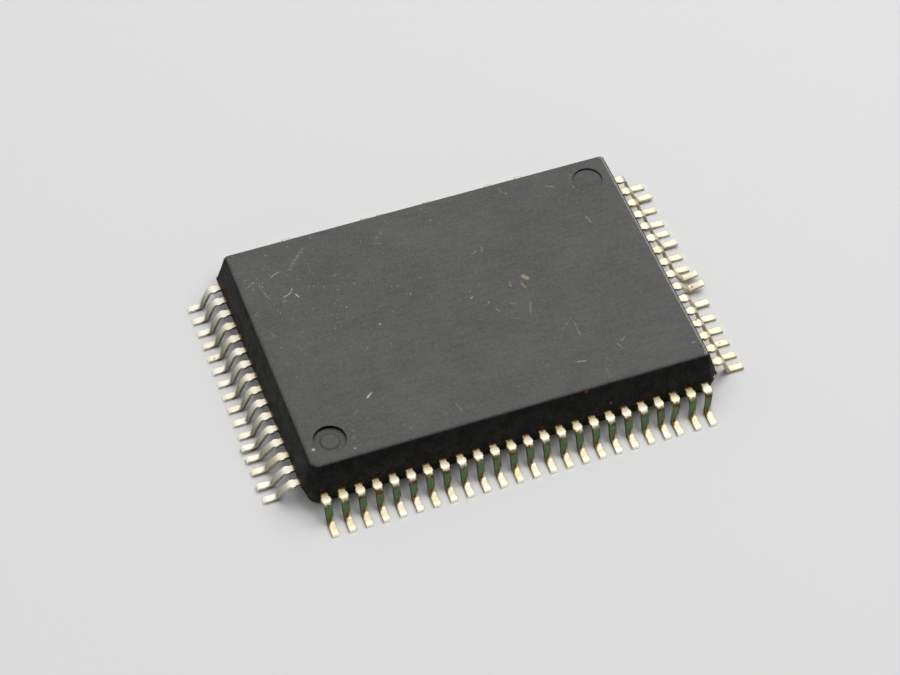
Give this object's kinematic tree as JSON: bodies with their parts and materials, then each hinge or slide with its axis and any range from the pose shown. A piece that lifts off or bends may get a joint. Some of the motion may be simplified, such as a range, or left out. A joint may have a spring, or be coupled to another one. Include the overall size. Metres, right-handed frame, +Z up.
{
  "type": "integrated circuit",
  "caption": "Integrated circuit in a dark moulded flat pack with plated gull-wing leads along every side and the lead frame, silicon die and bond wires sealed inside.",
  "frame": {"origin": "under the middle of the body, in the plane that the feet stand on", "axes": "+X along the long side, +Z up out of the top face, -Y towards the front bank with the first-lead corner on its left"},
  "size_m": [0.0237, 0.0173, 0.0026],
  "materials": {
    "moulding": "matte filled epoxy, lightly scratched",
    "lead_plating": "pale satin solder plating with brown tarnish",
    "bare_alloy": "bare rolled strip",
    "silver_epoxy": "cured paste",
    "silicon": "polished dark grey",
    "gold_wire": "drawn gold"
  },
  "bodies": {
    "root": {"mould_body": "moulding", "leads_front": "lead_plating", "leads_rear": "lead_plating", "leads_left": "lead_plating", "leads_right": "lead_plating", "die_pad": "bare_alloy", "die_attach": "silver_epoxy", "silicon_die": "silicon", "wires_front": "gold_wire", "wires_rear": "gold_wire", "wires_left": "gold_wire", "wires_right": "gold_wire"}
  },
  "joints": []
}
